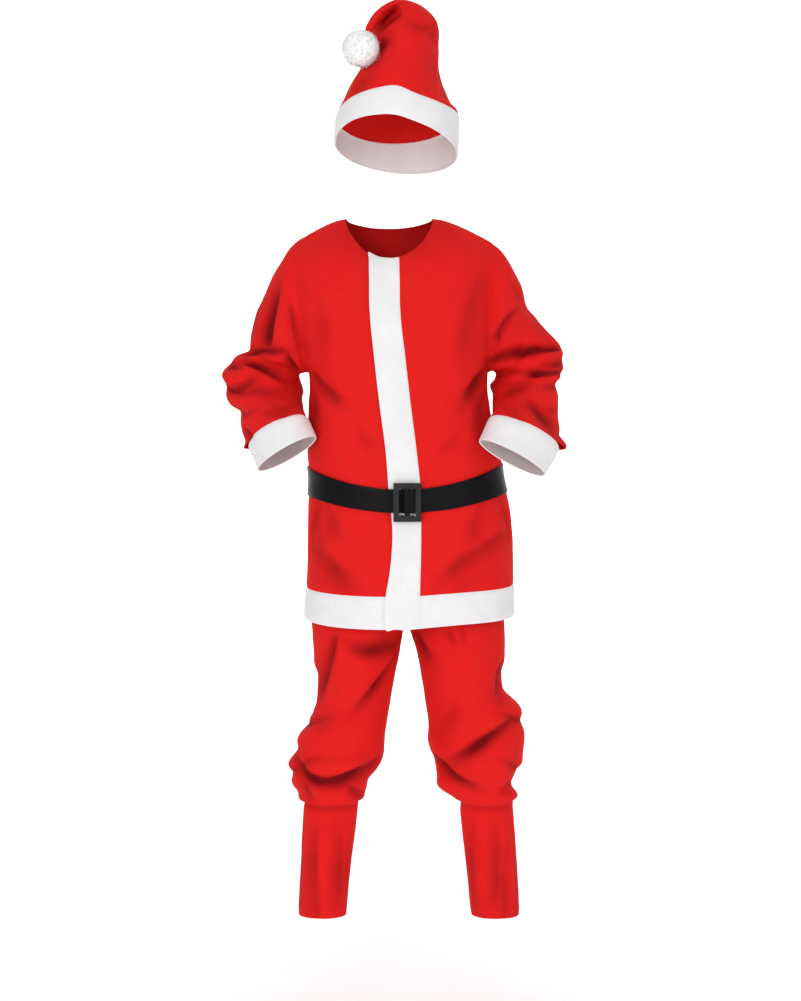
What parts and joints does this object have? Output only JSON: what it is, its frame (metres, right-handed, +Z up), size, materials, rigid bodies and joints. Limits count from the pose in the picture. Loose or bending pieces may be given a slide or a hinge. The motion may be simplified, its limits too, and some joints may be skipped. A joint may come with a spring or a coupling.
{
  "type": "santa suit with hat, belted jacket and trousers",
  "caption": "Red fleece santa suit with white bands: soft hat with a folded tip and pompom, belted jacket and tapered trousers, worn and hollow.",
  "frame": {"origin": "at the base of the neck, midway between the shoulders, where the wearer holds the suit", "axes": "+Z up the wearer from feet to head, +X to the wearer's left, -Y to the front"},
  "size_m": [0.4883, 0.2502, 1.3054],
  "materials": {
    "red_fleece": "matt brushed fleece",
    "white_fleece": "matt brushed fleece",
    "white_pile": "fluffy pile",
    "black_vinyl": "smooth satin vinyl",
    "black_plastic": "satin moulded"
  },
  "bodies": {
    "root": {"belt": "black_vinyl", "belt_buckle": "black_plastic", "cuff_left": "white_fleece", "cuff_right": "white_fleece", "front_band": "white_fleece", "hat_back": "red_fleece", "hat_front": "red_fleece", "hat_band": "white_fleece", "hat_pompom": "white_pile", "hem_band_back": "white_fleece", "hem_band_front_left": "white_fleece", "hem_band_front_right": "white_fleece", "jacket_back": "red_fleece", "jacket_front_left": "red_fleece", "jacket_front_right": "red_fleece", "sleeve_left_back": "red_fleece", "sleeve_left_front": "red_fleece", "sleeve_right_back": "red_fleece", "sleeve_right_front": "red_fleece", "trouser_left_back": "red_fleece", "trouser_left_front": "red_fleece", "trouser_right_back": "red_fleece", "trouser_right_front": "red_fleece", "waistband": "red_fleece"}
  },
  "joints": []
}
